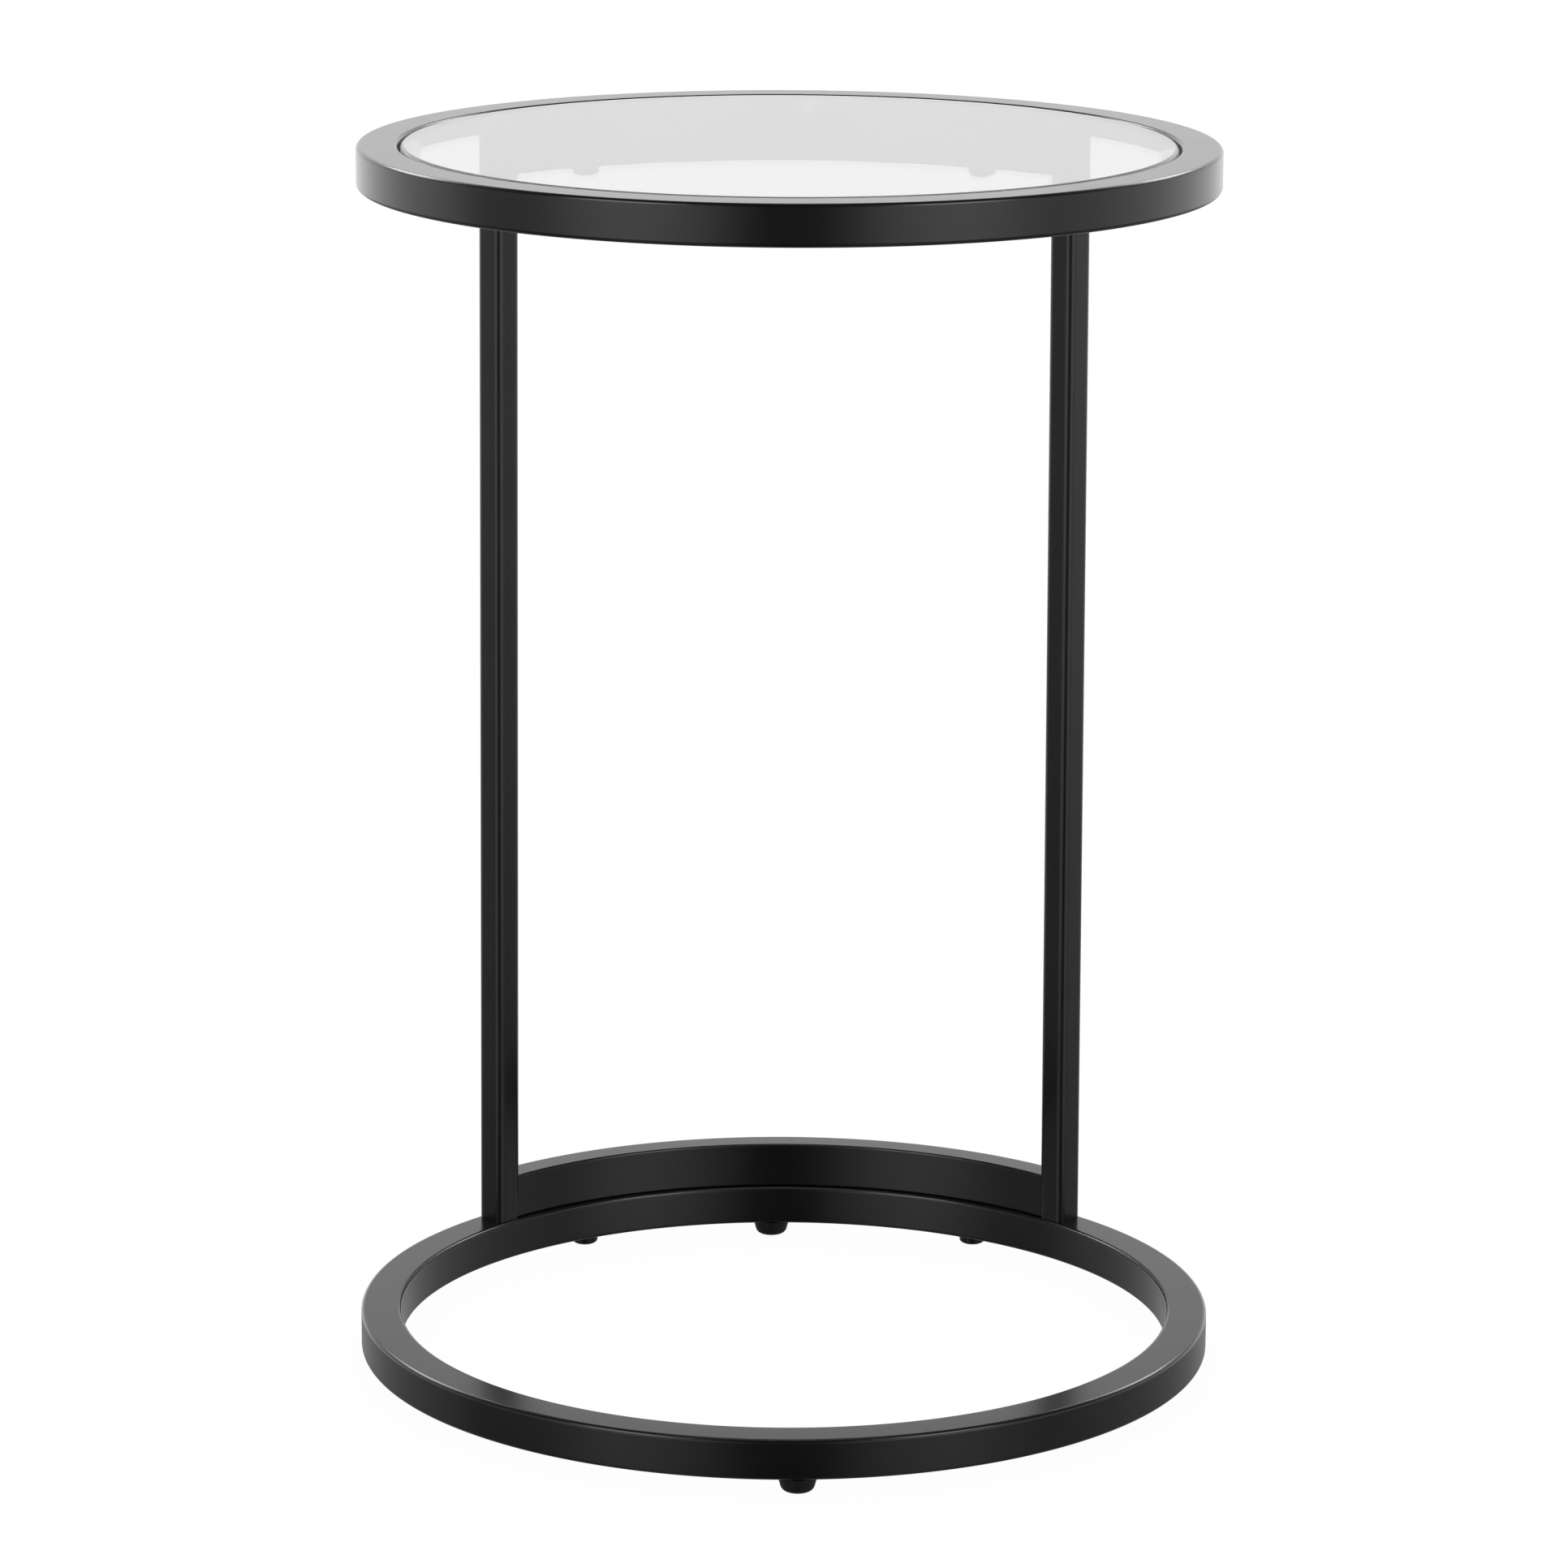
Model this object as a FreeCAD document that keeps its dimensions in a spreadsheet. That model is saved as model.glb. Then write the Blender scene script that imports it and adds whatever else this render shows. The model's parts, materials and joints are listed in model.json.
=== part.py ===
# C-shaped round side table: two rings of square steel tube, a welded leg frame at the back that joins
# them, a drop-in glass top on four sleeved pins, and four push-in glides. The base ring is a little
# wider than the top ring, so the legs lean out towards the floor. Millimetres and degrees.
#
# The origin is on the floor under the centre of the rings and +Z is up. The legs stand at the back,
# on +Y, and the open side of the C faces -Y. Angles round the table start at the back and grow
# towards +X.
import FreeCAD
import Part
import math
import os
import Sketcher

SIZES = {
    # Top ring and base ring, rolled from the same square tube
    "table_height": 609,
    "top_diameter": 415,
    "base_diameter": 422,
    "ring_tube": 20,
    "ring_wall": 1.2,
    "ring_corner": 2,
    "ring_bore_corner": 0.8,
    # Upright legs of the leg frame
    "leg_tube": 16,
    "leg_wall": 1.2,
    "leg_corner": 4,
    "leg_bore_corner": 2.8,
    "leg_angle": 46.6,
    # Curved stretchers between the legs
    "arc_depth": 15,
    "arc_height": 23,
    "arc_wall": 1.2,
    "arc_corner": 1.2,
    "arc_bore_corner": 0.4,
    # Glass top, level with the top ring
    "glass_thickness": 10,
    "glass_gap": 1.2,
    "glass_edge": 2,
    # Steel pins in the top ring and the clear sleeves on them
    "pin_turn": 4,
    "pin_diameter": 4,
    "pin_root": 5,
    "pin_reach": 8.5,
    "sleeve_diameter": 8,
    "sleeve_cap": 1,
    "sleeve_flat": 0.3,
    "sleeve_standoff": 0.1,
    # Glides under the base ring
    "foot_turn": -1,
    "foot_height": 8,
    "foot_diameter": 19.4,
    "foot_tread": 15,
    "foot_edge": 3.6,
    "foot_neck": 6.5,
    "foot_barb": 7.6,
    "foot_barb_length": 5,
    "foot_tip": 4.5,
    # Button-head bolts, their washers and the insert nuts
    "bolt_angle": 30.6,
    "bolt_thread": 6,
    "bolt_engagement": 9,
    "bolt_head": 13.5,
    "bolt_head_height": 3.3,
    "bolt_head_rim": 1,
    "bolt_crown": 7,
    "bolt_socket": 4,
    "bolt_socket_depth": 2,
    "bolt_clearance": 0.6,
    "washer_diameter": 14,
    "washer_thickness": 1.6,
    "nut_body": 9,
    "nut_length": 13,
    "nut_roll": 0.8,
    "nut_roll_height": 2.5,
    # Difference in diameter between a hole and the pin, stem, nut or thread in it
    "hole_fit": 0.2,
}

# Places that several pieces share, as expressions on the sizes
TOP_MIDDLE = "((Size.top_diameter - Size.ring_tube) / 2)"
TOP_INSIDE = "(Size.top_diameter / 2 - Size.ring_tube)"
BASE_MIDDLE = "((Size.base_diameter - Size.ring_tube) / 2)"
RING_UNDERSIDE = "(Size.table_height - Size.ring_tube)"
BASE_TOP = "(Size.foot_height + Size.ring_tube)"
ARC_UNDERSIDE = f"({RING_UNDERSIDE} - Size.arc_height)"
GLASS_UNDERSIDE = "(Size.table_height - Size.glass_thickness)"
SLEEVE_TOP = "(Size.sleeve_diameter / 2 - Size.sleeve_flat)"
PIN_LEVEL = f"({GLASS_UNDERSIDE} - {SLEEVE_TOP})"
PIN_HOLE = "(Size.pin_diameter + Size.hole_fit)"
STEM_HOLE = "(Size.foot_neck + Size.hole_fit)"
BOLT_HOLE = "(Size.bolt_thread + Size.bolt_clearance)"
NUT_HOLE = "(Size.nut_body + Size.hole_fit)"

SIDES = {"left": -1, "right": 1}
QUARTERS = {"back": 0, "right": 90, "front": 180, "left": 270}
FULL_TURN = 360
SAME_LEVEL = 1e-6
UP = FreeCAD.Vector(0, 0, 1)

doc = FreeCAD.newDocument("c_shaped_side_table")
sheet = doc.addObject("Spreadsheet::Sheet", "Size")
for row, (alias, size) in enumerate(SIZES.items(), start=1):
    sheet.set(f"A{row}", alias)
    sheet.set(f"B{row}", str(size))
    sheet.setAlias(f"B{row}", alias)
doc.recompute()
subparts = []


def value(expression):
    """Number that an expression on the sizes comes to."""
    return float(sheet.evalExpression(expression))


def polar(angle, radius):
    """Expressions for the X and Y of a point at an angle from the back."""
    return f"{radius} * sin({angle})", f"{radius} * cos({angle})"


def new_body(label):
    """Body of one sub-part."""
    body = doc.addObject("PartDesign::Body", label)
    body.Label = label
    subparts.append(body)
    return body


def origin_feature(body, role):
    """One of a body's own origin planes or axes."""
    return next(item for item in body.Origin.OriginFeatures if item.Role == role)


def place(body, level, spot=("0", "0"), angle="0"):
    """Put a body at a level and a spot, turned to face an angle from the back."""
    body.Placement = FreeCAD.Placement(FreeCAD.Vector(), FreeCAD.Rotation(UP, 1))
    for axis, expression in zip("xyz", (*spot, level)):
        body.setExpression(f"Placement.Base.{axis}", expression)
    body.setExpression("Placement.Rotation.Angle", f"{FULL_TURN} - ({angle})")


def new_sketch(body, plane_role, angle="0"):
    """Sketch on one of a body's own planes, turned round Z to an angle from the back."""
    sketch = body.newObject("Sketcher::SketchObject", "Sketch")
    sketch.AttachmentSupport = (origin_feature(body, plane_role), [""])
    sketch.MapMode = "FlatFace"
    turn_axis = UP if plane_role == "XY_Plane" else FreeCAD.Vector(0, 1, 0)
    sketch.AttachmentOffset = FreeCAD.Placement(FreeCAD.Vector(), FreeCAD.Rotation(turn_axis, 1))
    sketch.setExpression("AttachmentOffset.Rotation.Angle", f"{FULL_TURN} - ({angle})")
    return sketch


def bind(sketch, kind, *where, expression):
    """Add a dimension to a sketch and tie it to an expression."""
    index = sketch.addConstraint(Sketcher.Constraint(kind, *where, value(expression)))
    sketch.setExpression(f"Constraints[{index}]", expression)


def pin_point(sketch, geometry, end, x, y):
    """Fix a point of a sketch by its two coordinates."""
    for kind, expression, axis in (("DistanceX", x, -2), ("DistanceY", y, -1)):
        if expression == "0":
            sketch.addConstraint(Sketcher.Constraint("PointOnObject", geometry, end, axis))
        else:
            bind(sketch, kind, -1, 1, geometry, end, expression=expression)


def add_polygon(sketch, corners):
    """Closed outline through corners that are given as pairs of expressions."""
    first = sketch.GeometryCount
    points = [FreeCAD.Vector(value(x), value(y), 0) for x, y in corners]
    for start, end in zip(points, points[1:] + points[:1]):
        sketch.addGeometry(Part.LineSegment(start, end), False)
    for index, (x, y) in enumerate(corners):
        previous = first + (index - 1) % len(corners)
        sketch.addConstraint(Sketcher.Constraint("Coincident", previous, 2, first + index, 1))
        pin_point(sketch, first + index, 1, x, y)


def add_circle(sketch, x, y, diameter):
    """Circle about a point that is given as two expressions."""
    centre = FreeCAD.Vector(value(x), value(y), 0)
    circle = sketch.addGeometry(Part.Circle(centre, UP, value(diameter) / 2), False)
    bind(sketch, "Diameter", circle, expression=diameter)
    pin_point(sketch, circle, 3, x, y)


def add_rounded_rectangle(sketch, left, bottom, width, height, corner):
    """Rectangle with round corners: four lines and four tangent arcs."""
    x0, y0, wide, tall, radius = (value(item) for item in (left, bottom, width, height, corner))
    x1, y1 = x0 + wide, y0 + tall
    bends = [(x1 - radius, y0 + radius), (x1 - radius, y1 - radius),
             (x0 + radius, y1 - radius), (x0 + radius, y0 + radius)]
    arcs = []
    for quarter, (x, y) in enumerate(bends):
        ring = Part.Circle(FreeCAD.Vector(x, y, 0), UP, radius)
        arcs.append(Part.ArcOfCircle(ring, math.radians(90 * (quarter - 1)), math.radians(90 * quarter)))
    first = sketch.GeometryCount
    count = len(arcs)
    for quarter in range(count):
        before, after = arcs[quarter - 1], arcs[quarter]
        sketch.addGeometry(Part.LineSegment(before.EndPoint, after.StartPoint), False)
    for arc in arcs:
        sketch.addGeometry(arc, False)
    base_line, right_line, top_line, left_line = range(first, first + count)
    first_arc = first + count
    for quarter in range(count):
        line, arc = first + quarter, first_arc + quarter
        following = first + (quarter + 1) % count
        direction = "Horizontal" if quarter % 2 == 0 else "Vertical"
        sketch.addConstraint(Sketcher.Constraint(direction, line))
        sketch.addConstraint(Sketcher.Constraint("Tangent", line, 2, arc, 1))
        sketch.addConstraint(Sketcher.Constraint("Tangent", arc, 2, following, 1))
        if arc != first_arc:
            sketch.addConstraint(Sketcher.Constraint("Equal", first_arc, arc))
    bind(sketch, "Radius", first_arc, expression=corner)
    bind(sketch, "DistanceX", left_line, 1, right_line, 1, expression=width)
    bind(sketch, "DistanceY", base_line, 1, top_line, 1, expression=height)
    bind(sketch, "DistanceX", -1, 1, left_line, 1, expression=left)
    bind(sketch, "DistanceY", -1, 1, base_line, 1, expression=bottom)


def add_tube_section(sketch, name, left, bottom, width, height):
    """Section of a tube: its outside and, one wall further in, its bore."""
    wall = f"Size.{name}_wall"
    add_rounded_rectangle(sketch, left, bottom, width, height, f"Size.{name}_corner")
    add_rounded_rectangle(sketch, f"{left} + {wall}", f"{bottom} + {wall}",
                          f"{width} - 2 * {wall}", f"{height} - 2 * {wall}", f"Size.{name}_bore_corner")


def revolve(body, sketch, axis="V_Axis"):
    """Turn a sketch fully round one of its own axes."""
    feature = body.newObject("PartDesign::Revolution", "Revolution")
    feature.Profile = sketch
    feature.ReferenceAxis = (sketch, [axis])
    feature.Angle = FULL_TURN
    return feature


def pad(body, sketch, length, lean="0"):
    """Raise a sketch upwards by a length, while it moves along Y by a share of that length."""
    feature = body.newObject("PartDesign::Pad", "Pad")
    feature.Profile = sketch
    feature.UseCustomVector = True
    feature.Direction = UP
    feature.setExpression("Direction.y", lean)
    feature.setExpression("Length", length)
    return feature


def cut(body, sketch, length, both_ways=False):
    """Cut a sketch out of a body, along the sketch's normal or to both sides of it."""
    doc.recompute()
    before = body.Shape.Volume
    feature = body.newObject("PartDesign::Pocket", "Pocket")
    feature.Profile = sketch
    feature.SideType = "Symmetric" if both_ways else "One side"
    feature.Reversed = not both_ways
    feature.setExpression("Length", length)
    doc.recompute()
    if not body.Shape.Volume < before:
        raise RuntimeError(f"A cut in {body.Label} removed nothing")
    return feature


def copy_round(body, feature, count):
    """Repeat a cut evenly round Z."""
    pattern = body.newObject("PartDesign::PolarPattern", "PolarPattern")
    pattern.Originals = [feature]
    pattern.Axis = (origin_feature(body, "Z_Axis"), [""])
    pattern.Angle = FULL_TURN
    pattern.Occurrences = count
    body.Tip = pattern


def mirror_left_right(body, feature):
    """Repeat a cut on the other side of the table's middle plane."""
    mirror = body.newObject("PartDesign::Mirrored", "Mirrored")
    mirror.Originals = [feature]
    mirror.MirrorPlane = (origin_feature(body, "YZ_Plane"), [""])
    body.Tip = mirror


def round_edges(body, base, levels, radius):
    """Round the full circular edges of a feature that lie at the given levels."""
    doc.recompute()
    heights = [value(level) for level in levels]
    names = []
    for number, edge in enumerate(base.Shape.Edges, start=1):
        middle = edge.CenterOfMass.z
        if edge.isClosed() and any(abs(middle - height) < SAME_LEVEL for height in heights):
            names.append(f"Edge{number}")
    fillet = body.newObject("PartDesign::Fillet", "Fillet")
    fillet.Base = (base, names)
    fillet.setExpression("Radius", radius)


def drill(body, spots, diameter, depth):
    """Holes upwards from the underside of a body, at a list of spots."""
    sketch = new_sketch(body, "XY_Plane")
    for x, y in spots:
        add_circle(sketch, x, y, diameter)
    cut(body, sketch, depth)


def bolt_spots(middle):
    """The two places where the leg frame is bolted to a ring, on the ring's middle line."""
    return [polar(f"{sign} * Size.bolt_angle", middle) for sign in SIDES.values()]


def foot_angle(start):
    """Angle of a glide, from the quarter of the ring that it stands under."""
    return f"({start} + Size.foot_turn)"


def make_ring(label, middle, level):
    """Ring of square tube about a middle line, with its underside at a level."""
    body = new_body(label)
    sketch = new_sketch(body, "XZ_Plane")
    inside = f"{middle} - Size.ring_tube / 2"
    add_tube_section(sketch, "ring", inside, "0", "Size.ring_tube", "Size.ring_tube")
    revolve(body, sketch)
    place(body, level)
    return body


def make_base_ring():
    """Base ring: stem holes for the glides, and bolt holes right through."""
    body = make_ring("base_ring", BASE_MIDDLE, "Size.foot_height")
    stems = [polar(foot_angle(start), BASE_MIDDLE) for start in QUARTERS.values()]
    drill(body, stems, STEM_HOLE, "Size.ring_tube / 2")
    drill(body, bolt_spots(BASE_MIDDLE), BOLT_HOLE, "Size.ring_tube")


def make_top_ring():
    """Top ring: nut holes in the underside, and pin holes in the inner wall."""
    body = make_ring("top_ring", TOP_MIDDLE, RING_UNDERSIDE)
    drill(body, bolt_spots(TOP_MIDDLE), NUT_HOLE, "Size.ring_tube / 2")
    sketch = new_sketch(body, "XZ_Plane", "Size.pin_turn")
    add_circle(sketch, "0", f"{PIN_LEVEL} - {RING_UNDERSIDE}", PIN_HOLE)
    hole = cut(body, sketch, TOP_MIDDLE)
    copy_round(body, hole, len(QUARTERS))


def make_leg(side, sign):
    """Upright of square tube from the middle of one ring to that of the other, turned to face the centre."""
    body = new_body(f"{side}_leg")
    sketch = new_sketch(body, "XY_Plane")
    edge = "-Size.leg_tube / 2"
    add_tube_section(sketch, "leg", edge, edge, "Size.leg_tube", "Size.leg_tube")
    rise = f"({RING_UNDERSIDE} - {BASE_TOP})"
    pad(body, sketch, rise, f"({TOP_MIDDLE} - {BASE_MIDDLE}) / {rise}")
    angle = f"{sign} * Size.leg_angle"
    place(body, BASE_TOP, polar(angle, BASE_MIDDLE), angle)


def make_arc(label, middle, level):
    """Curved stretcher along a ring's middle line, cut square to the legs' side faces."""
    body = new_body(label)
    section = new_sketch(body, "YZ_Plane")
    inside = f"{middle} - Size.arc_depth / 2"
    add_tube_section(section, "arc", inside, "0", "Size.arc_depth", "Size.arc_height")
    sweep = revolve(body, section)
    sweep.Midplane = True
    sweep.setExpression("Angle", "2 * Size.leg_angle")
    trim = new_sketch(body, "XY_Plane", "Size.leg_angle")
    near, far = "-Size.leg_tube / 2", "Size.leg_tube / 2"
    low, high = f"{middle} - Size.ring_tube / 2", f"{middle} + Size.ring_tube / 2"
    add_polygon(trim, [(near, low), (far, low), (far, high), (near, high)])
    end_cut = cut(body, trim, "Size.arc_height")
    mirror_left_right(body, end_cut)
    place(body, level)
    return body


def make_glass():
    """Glass disc inside the top ring, level with its top, with a rounded polished edge."""
    body = new_body("glass_top")
    sketch = new_sketch(body, "XY_Plane")
    add_circle(sketch, "0", "0", f"2 * ({TOP_INSIDE} - Size.glass_gap)")
    disc = pad(body, sketch, "Size.glass_thickness")
    round_edges(body, disc, ["0", "Size.glass_thickness"], "Size.glass_edge")
    place(body, GLASS_UNDERSIDE)


def make_pin(quarter, angle):
    """Steel pin through the inner wall of the top ring, pointing to the middle."""
    body = new_body(f"glass_pin_{quarter}")
    sketch = new_sketch(body, "YZ_Plane")
    root = f"{TOP_INSIDE} + Size.pin_root"
    tip = f"{TOP_INSIDE} - Size.pin_reach"
    radius = "Size.pin_diameter / 2"
    add_polygon(sketch, [(tip, "0"), (root, "0"), (root, radius), (tip, radius)])
    revolve(body, sketch, "H_Axis")
    place(body, PIN_LEVEL, angle=angle)


def make_sleeve(quarter, angle):
    """Clear cap over a pin, pressed flat on top by the glass."""
    body = new_body(f"pin_sleeve_{quarter}")
    sketch = new_sketch(body, "YZ_Plane")
    mouth = f"{TOP_INSIDE} - Size.sleeve_standoff"
    pin_tip = f"{TOP_INSIDE} - Size.pin_reach"
    end = f"{pin_tip} - Size.sleeve_cap"
    bore = f"{PIN_HOLE} / 2"
    outside = "Size.sleeve_diameter / 2"
    add_polygon(sketch, [(end, "0"), (pin_tip, "0"), (pin_tip, bore), (mouth, bore), (mouth, outside),
                         (end, outside)])
    revolve(body, sketch, "H_Axis")
    flat = new_sketch(body, "YZ_Plane")
    add_polygon(flat, [(end, SLEEVE_TOP), (mouth, SLEEVE_TOP), (mouth, outside), (end, outside)])
    cut(body, flat, "Size.sleeve_diameter", both_ways=True)
    place(body, PIN_LEVEL, angle=angle)


def make_foot(quarter, angle):
    """Glide with a tapered, round-edged tread and a barbed stem in the base ring's underside."""
    body = new_body(f"foot_{quarter}")
    sketch = new_sketch(body, "XZ_Plane")
    seat = "Size.foot_height"
    catch = f"{seat} + Size.ring_wall + Size.hole_fit"
    tip = f"{catch} + Size.foot_barb_length"
    add_polygon(sketch, [("0", "0"), ("Size.foot_tread / 2", "0"), ("Size.foot_diameter / 2", seat),
                         ("Size.foot_neck / 2", seat), ("Size.foot_neck / 2", catch),
                         ("Size.foot_barb / 2", catch), ("Size.foot_tip / 2", tip), ("0", tip)])
    solid = revolve(body, sketch)
    round_edges(body, solid, ["0"], "Size.foot_edge")
    place(body, "0", polar(angle, BASE_MIDDLE), angle)


def make_washer(label, level, spot):
    """Flat washer against the underside of the tube that is clamped."""
    body = new_body(label)
    sketch = new_sketch(body, "XZ_Plane")
    bore, rim = f"{BOLT_HOLE} / 2", "Size.washer_diameter / 2"
    under = "-Size.washer_thickness"
    add_polygon(sketch, [(bore, under), (rim, under), (rim, "0"), (bore, "0")])
    revolve(body, sketch)
    place(body, level, spot)


def make_bolt(label, level, spot, clamped):
    """Button-head bolt, up through the washer and the clamped tube into its nut."""
    body = new_body(label)
    sketch = new_sketch(body, "XZ_Plane")
    under = "-Size.washer_thickness"
    rim = f"{under} - Size.bolt_head_rim"
    crown = f"{under} - Size.bolt_head_height"
    tip = f"{clamped} + Size.bolt_engagement"
    shank, head = "Size.bolt_thread / 2", "Size.bolt_head / 2"
    add_polygon(sketch, [("0", crown), ("Size.bolt_crown / 2", crown), (head, rim), (head, under),
                         (shank, under), (shank, tip), ("0", tip)])
    revolve(body, sketch)
    socket = new_sketch(body, "XY_Plane")
    socket.setExpression("AttachmentOffset.Base.z", crown)
    reach = "Size.bolt_socket / (2 * cos(30))"
    add_polygon(socket, [(f"{reach} * cos({60 * k + 30})", f"{reach} * sin({60 * k + 30})")
                         for k in range(6)])
    cut(body, socket, "Size.bolt_socket_depth")
    place(body, level, spot)


def make_nut(label, level, spot, wall):
    """Insert nut, flush with the outside of a tube's wall and rolled out behind it."""
    body = new_body(label)
    sketch = new_sketch(body, "XZ_Plane")
    bore = "(Size.bolt_thread + Size.hole_fit) / 2"
    outside = "Size.nut_body / 2"
    collar = f"{outside} + Size.nut_roll"
    roll_end = f"{wall} + Size.nut_roll_height"
    add_polygon(sketch, [(bore, "0"), (outside, "0"), (outside, wall), (collar, wall), (outside, roll_end),
                         (outside, "Size.nut_length"), (bore, "Size.nut_length")])
    revolve(body, sketch)
    place(body, level, spot)


def make_fasteners(where, middle, head_level, clamped, nut_level, nut_wall):
    """The two bolts of one ring, each with its washer and its nut."""
    for side, spot in zip(SIDES, bolt_spots(middle)):
        make_washer(f"{where}_washer_{side}", head_level, spot)
        make_bolt(f"{where}_bolt_{side}", head_level, spot, clamped)
        make_nut(f"{where}_nut_{side}", nut_level, spot, nut_wall)


def build():
    """Make every sub-part of the table."""
    make_base_ring()
    make_top_ring()
    for side, sign in SIDES.items():
        make_leg(side, sign)
    lower_arc = make_arc("lower_arc", BASE_MIDDLE, BASE_TOP)
    drill(lower_arc, bolt_spots(BASE_MIDDLE), NUT_HOLE, "Size.arc_height / 2")
    upper_arc = make_arc("upper_arc", TOP_MIDDLE, ARC_UNDERSIDE)
    drill(upper_arc, bolt_spots(TOP_MIDDLE), BOLT_HOLE, "Size.arc_height")
    make_glass()
    for quarter, start in QUARTERS.items():
        make_pin(quarter, f"({start} + Size.pin_turn)")
        make_sleeve(quarter, f"({start} + Size.pin_turn)")
        make_foot(quarter, foot_angle(start))
    make_fasteners("base", BASE_MIDDLE, "Size.foot_height", "Size.ring_tube", BASE_TOP, "Size.arc_wall")
    make_fasteners("top", TOP_MIDDLE, ARC_UNDERSIDE, "Size.arc_height", RING_UNDERSIDE, "Size.ring_wall")


def check():
    """Stop if any object of the document failed or any sub-part isn't one valid solid."""
    doc.recompute()
    for item in doc.Objects:
        if {"Invalid", "Error"} & set(item.State):
            raise RuntimeError(f"{item.Label} failed: {item.State}")
    for body in subparts:
        if body.Shape.isNull() or not body.Shape.isValid() or len(body.Shape.Solids) != 1:
            raise RuntimeError(f"{body.Label} isn't one valid solid")


def write():
    """Write each sub-part to a file of its own."""
    os.makedirs("parts", exist_ok=True)
    for body in subparts:
        body.Shape.exportStep(f"parts/{body.Label}.step")
        print(f"{body.Label}: {body.Shape.Volume:.0f} mm3")


build()
check()
write()
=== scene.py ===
"""Looks of the C-shaped round side table, in metres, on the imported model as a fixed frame.

The sub-assemblies are classes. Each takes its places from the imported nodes, builds its pieces,
dresses them in their finishes and hangs them on the CAD body that carries them.
"""
import json
import logging
import math
from collections.abc import Mapping, Sequence
from dataclasses import dataclass, field
from enum import Enum
from functools import cache

import bmesh
import bpy
from bpy.types import ID, Collection, Material, Mesh, NodeSocket, NodeTree, Object, World
from mathutils import Matrix, Vector

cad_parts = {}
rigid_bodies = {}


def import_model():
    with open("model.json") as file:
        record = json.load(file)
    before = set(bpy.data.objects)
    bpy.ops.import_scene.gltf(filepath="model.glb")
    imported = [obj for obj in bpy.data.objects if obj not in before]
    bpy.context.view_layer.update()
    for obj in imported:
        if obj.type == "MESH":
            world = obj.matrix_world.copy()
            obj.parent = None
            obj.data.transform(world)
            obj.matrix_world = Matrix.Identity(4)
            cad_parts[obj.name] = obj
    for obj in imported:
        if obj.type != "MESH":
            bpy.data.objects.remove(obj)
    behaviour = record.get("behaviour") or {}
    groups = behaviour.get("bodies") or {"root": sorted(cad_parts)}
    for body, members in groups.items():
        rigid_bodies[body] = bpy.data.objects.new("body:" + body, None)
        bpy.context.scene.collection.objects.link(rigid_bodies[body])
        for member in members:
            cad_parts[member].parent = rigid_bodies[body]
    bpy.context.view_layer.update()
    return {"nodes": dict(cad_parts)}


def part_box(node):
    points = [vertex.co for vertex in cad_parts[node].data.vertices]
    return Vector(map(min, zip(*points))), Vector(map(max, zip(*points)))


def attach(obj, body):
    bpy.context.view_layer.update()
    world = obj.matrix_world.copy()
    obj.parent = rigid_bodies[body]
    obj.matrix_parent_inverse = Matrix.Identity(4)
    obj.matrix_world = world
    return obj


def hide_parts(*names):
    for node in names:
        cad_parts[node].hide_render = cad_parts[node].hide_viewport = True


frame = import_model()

LOG = logging.getLogger("side_table")
MM = 0.001
FULL_TURN = 2 * math.pi
QUARTER_TURN = FULL_TURN / 4
SIXTH_TURN = FULL_TURN / 6
SHARP_EDGE = math.radians(38)
WELD = MM / 1000
FLATS_FIRST = 100
NOISE_MEAN = 0.5
TURN_ATTRIBUTE = "turn"

Colour = tuple[float, float, float, float]
Span = tuple[float, float]
Spots = Sequence[tuple[Vector, float]]
Term = "Wire | float"
Value = "Wire | float | int | bool | str | tuple | Vector | ID"
Values = Mapping[str | int, Value]
WHITE: Colour = (1, 1, 1, 1)


class CadBody(Enum):
    """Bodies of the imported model."""

    FRAME = "frame"
    GLASS = "glass"


class Slot(Enum):
    """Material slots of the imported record."""

    SATIN_BLACK = "satin_black"
    CLEAR_GLASS = "clear_glass"
    CLEAR_SILICONE = "clear_silicone"
    BLACK_RUBBER = "black_rubber"
    BLACK_HARDWARE = "black_hardware"
    PLATED_STEEL = "plated_steel"


class Side(Enum):
    """Sides of the table on which a leg and its bolts stand."""

    LEFT = "left"
    RIGHT = "right"


class Quarter(Enum):
    """Quarters of a ring that carry a pin or a glide."""

    BACK = "back"
    RIGHT = "right"
    FRONT = "front"
    LEFT = "left"


class End(Enum):
    """Ends of the leg frame that are bolted to a ring."""

    BASE = "base"
    TOP = "top"


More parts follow.
